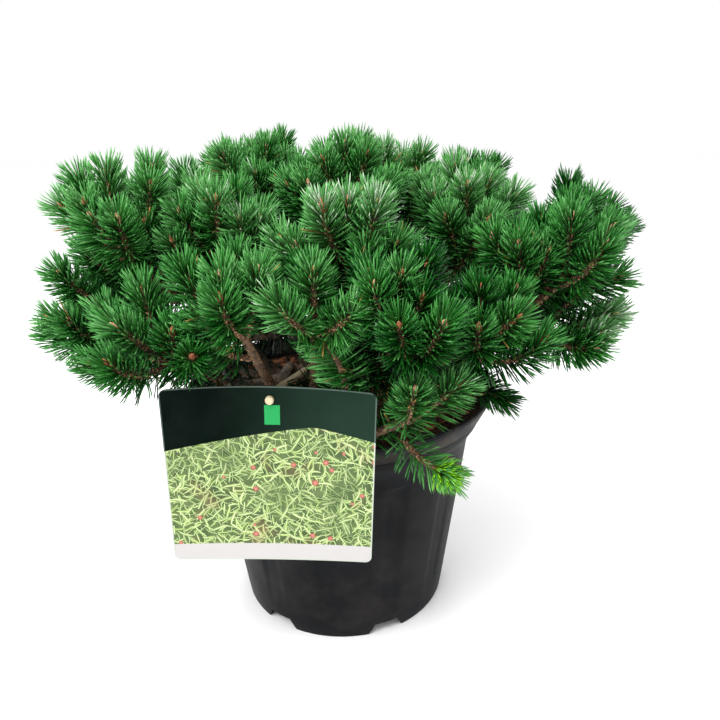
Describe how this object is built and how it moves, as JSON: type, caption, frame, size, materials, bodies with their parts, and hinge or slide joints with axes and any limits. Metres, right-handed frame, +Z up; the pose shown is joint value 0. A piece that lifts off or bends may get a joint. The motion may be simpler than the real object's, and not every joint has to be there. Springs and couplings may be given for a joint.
{
  "type": "potted dwarf mountain pine",
  "caption": "Low, wide dwarf mountain pine with bottle-brush shoots in a round black nursery pot with a plain picture label.",
  "frame": {"origin": "middle of the pot's flat underside, on the pot's axis", "axes": "+Z up, -Y towards the side with the label, +X to the right seen from that side"},
  "size_m": [0.6058, 0.5288, 0.5169],
  "materials": {
    "pot_plastic": "charcoal black moulded plastic with a faint sheen and dust",
    "compost": "dark damp bark compost",
    "bark": "scaly grey-brown bark with orange flakes",
    "needles": "mid green needles in dense brushes with pinkish-brown buds",
    "label_sheet": "printed glossy plastic sheet",
    "peg_wood": "pale bare wood"
  },
  "bodies": {
    "root": {"pot": "pot_plastic", "soil": "compost", "trunk": "bark", "bough_01": "bark", "bough_02": "bark", "bough_03": "bark", "bough_04": "bark", "bough_05": "bark", "bough_06": "bark", "bough_07": "bark", "bough_08": "bark", "bough_09": "bark", "bough_10": "bark", "side_branch_01": "bark", "side_branch_02": "bark", "side_branch_03": "bark", "side_branch_04": "bark", "side_branch_05": "bark", "side_branch_06": "bark", "side_branch_07": "bark", "side_branch_08": "bark", "side_branch_09": "bark", "side_branch_10": "bark", "side_branch_11": "bark", "upper_branch_1": "bark", "upper_branch_2": "bark", "upper_branch_3": "bark", "upper_branch_4": "bark", "upper_branch_5": "bark", "label": "label_sheet", "label_peg": "peg_wood", "foliage_skirt_01": "needles", "foliage_skirt_02": "needles", "foliage_skirt_03": "needles", "foliage_skirt_04": "needles", "foliage_skirt_05": "needles", "foliage_skirt_06": "needles", "foliage_skirt_07": "needles", "foliage_skirt_08": "needles", "foliage_skirt_09": "needles", "foliage_skirt_10": "needles", "foliage_shoulder_01": "needles", "foliage_shoulder_02": "needles", "foliage_shoulder_03": "needles", "foliage_shoulder_04": "needles", "foliage_shoulder_05": "needles", "foliage_shoulder_06": "needles", "foliage_shoulder_07": "needles", "foliage_shoulder_08": "needles", "foliage_shoulder_09": "needles", "foliage_upper_01": "needles", "foliage_upper_02": "needles", "foliage_upper_03": "needles", "foliage_upper_04": "needles", "foliage_upper_05": "needles", "foliage_top_01": "needles", "foliage_hanging_01": "needles", "foliage_rim_01": "needles"}
  },
  "joints": []
}
